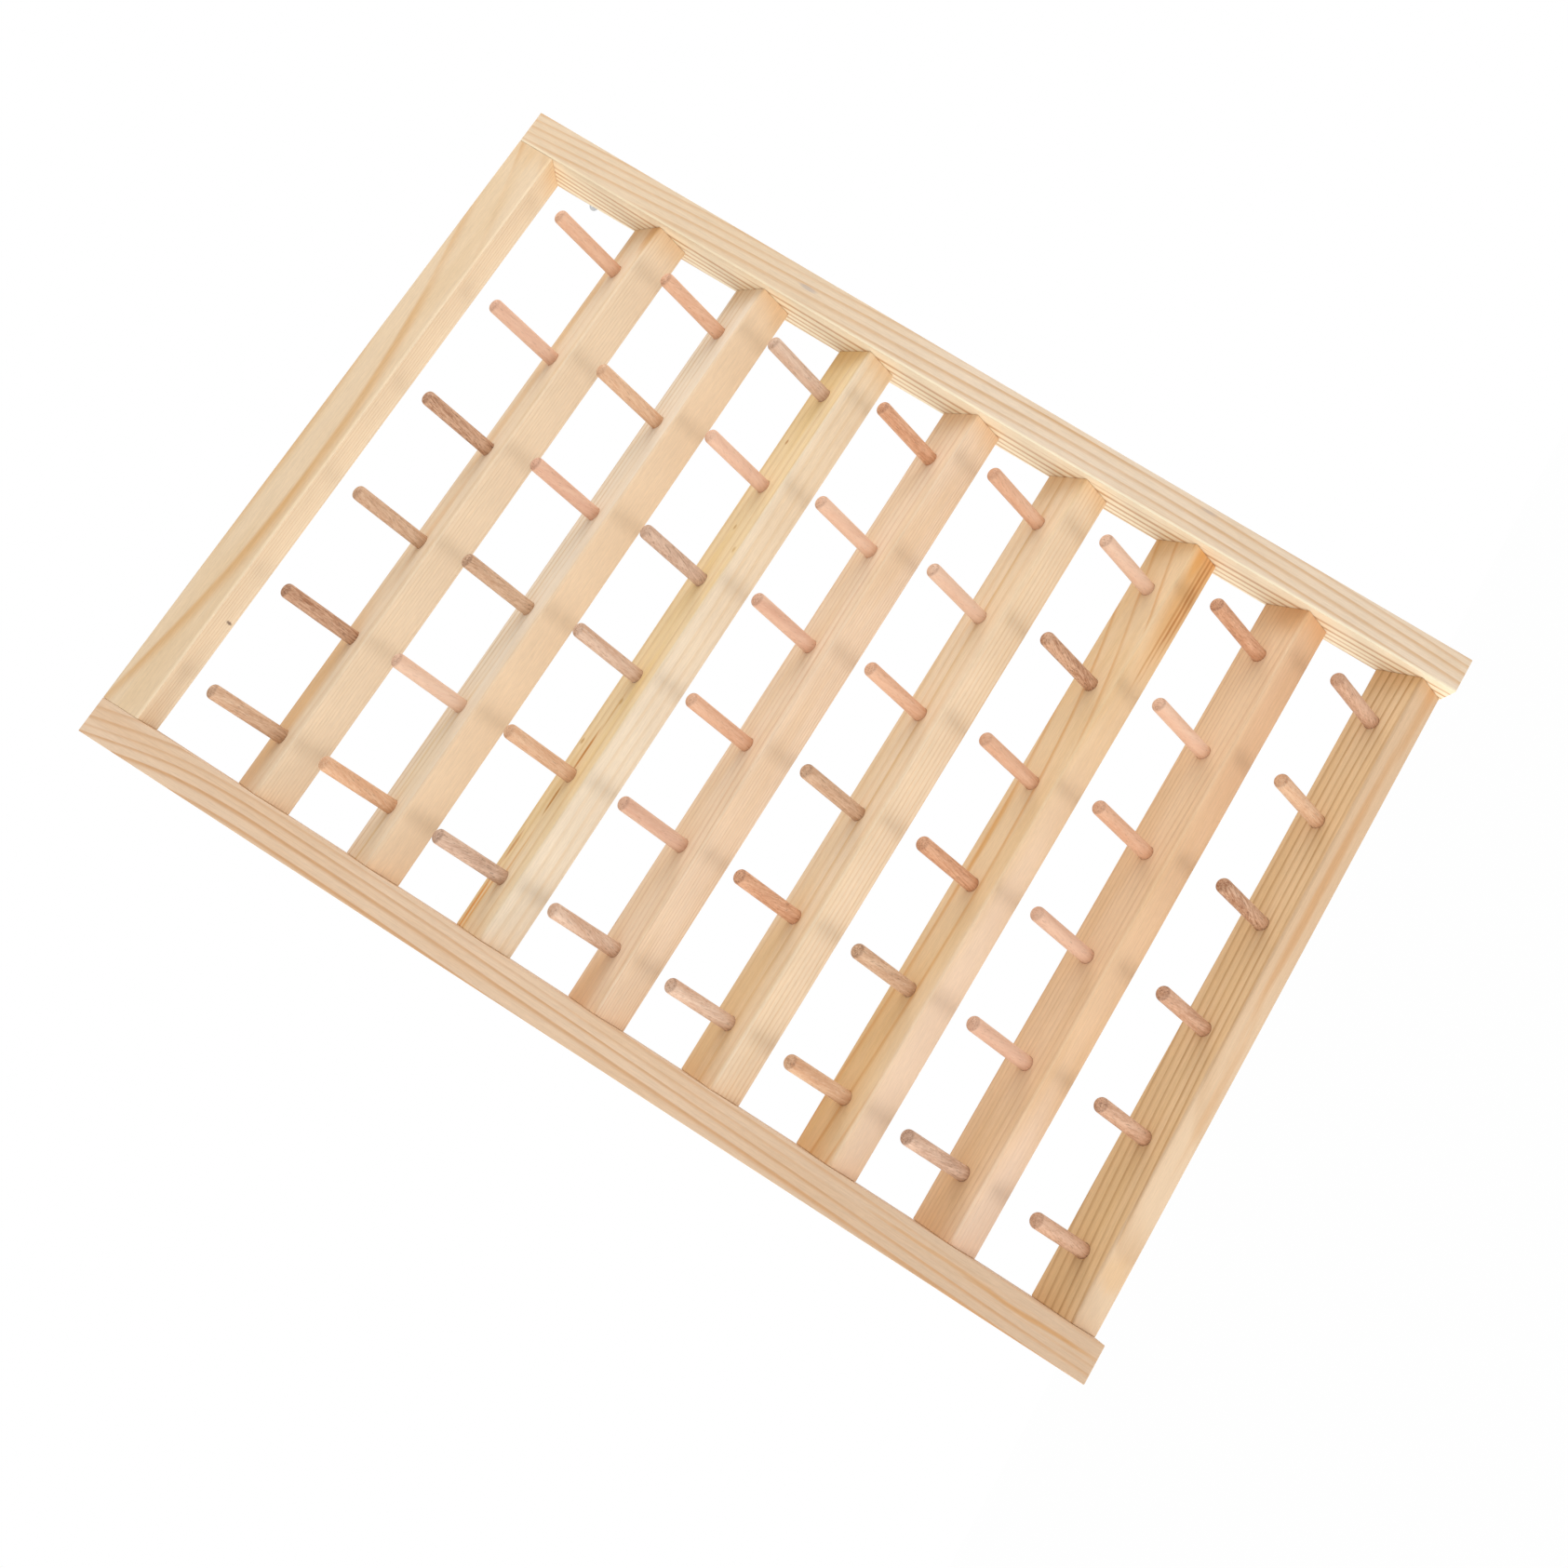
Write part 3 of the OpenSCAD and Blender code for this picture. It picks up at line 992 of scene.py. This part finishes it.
def make_floor():
    """A pale floor that looks white to the camera and in gloss"""
    mesh = bpy.data.meshes.new("floor")
    ways = [(-1, -1), (1, -1), (1, 1), (-1, 1)]
    corners = [(FLOOR_HALF * x, FLOOR_HALF * y, FLOOR_Z) for x, y in ways]
    mesh.from_pydata(corners, [], [(0, 1, 2, 3)])
    floor = bpy.data.objects.new("floor", mesh)
    bpy.context.scene.collection.objects.link(floor)
    material, graph = new_material("floor")
    matt = graph.node("BsdfDiffuse", {"Color": FLOOR_COLOUR})
    glow = graph.node("Emission")
    share = seen_by(graph, "Is Glossy Ray") * FLOOR_WHITE
    mixed = graph.node("MixShader", {0: share, 1: matt.outputs[0], 2: glow.outputs[0]})
    graph.node("OutputMaterial", {"Surface": mixed.outputs[0]})
    mesh.materials.append(material)


def make_world():
    """White to the camera, in gloss and through glass, and a soft fill for the rest"""
    world = bpy.data.worlds.new("studio")
    bpy.context.scene.world = world
    world.use_nodes = True
    graph = Graph(world.node_tree)
    seen = seen_by(graph, "Is Glossy Ray", "Is Transmission Ray")
    level = graph.node("MapRange", {"Value": seen, "To Min": WORLD_FILL, "To Max": 1})
    white = graph.node("Background", {"Color": (1, 1, 1, 1), "Strength": level.outputs["Result"]})
    graph.node("OutputWorld", {"Surface": white.outputs[0]})


def make_lamp(name, towards, distance, size, power):
    """A square lamp in that direction from the middle of the rack, turned to it"""
    low, high = cad_box
    lamp = bpy.data.lights.new(name, "AREA")
    lamp.shape = "SQUARE"
    lamp.size = size
    lamp.energy = power
    obj = bpy.data.objects.new(name, lamp)
    obj.location = (low + high) / 2 + Vector(towards).normalized() * distance
    obj.rotation_euler = (-Vector(towards)).to_track_quat("-Z", "Y").to_euler()
    obj.visible_camera = False
    bpy.context.scene.collection.objects.link(obj)


def make_camera():
    """Low and to the left of the rack, looking up at it"""
    cam = bpy.data.cameras.new("camera")
    cam.lens = CAMERA_LENS
    cam.sensor_width = CAMERA_FRAME
    cam.shift_y = CAMERA_SHIFT
    turns = CAMERA_HEADING, CAMERA_RISE, CAMERA_ROLL
    heading, rise, roll = (math.radians(turn) for turn in turns)
    level = X * math.cos(heading) - Y * math.sin(heading)
    forward = X * math.sin(heading) + Y * math.cos(heading)
    ahead = forward * math.cos(rise) + Z * math.sin(rise)
    right = level * math.cos(roll) - level.cross(ahead) * math.sin(roll)
    obj = bpy.data.objects.new("camera", cam)
    obj.matrix_world = place(Vector(CAMERA_AT) * mm, right, right.cross(ahead), -ahead)
    bpy.context.scene.collection.objects.link(obj)
    bpy.context.scene.camera = obj


make_floor()
make_world()
make_lamp("key", towards=(-0.13, -0.56, -0.71), distance=1.5, size=0.38, power=3.2)
make_lamp("left", towards=(-1, 0, -0.35), distance=1.3, size=1.0, power=10.0)
make_lamp("right", towards=(0.6, -0.32, 0.55), distance=0.87, size=0.7, power=3.35)
make_lamp("under", towards=(0, 0, -1), distance=1.7, size=2.0, power=7.4)
make_camera()
bpy.context.scene.view_settings.view_transform = "Standard"
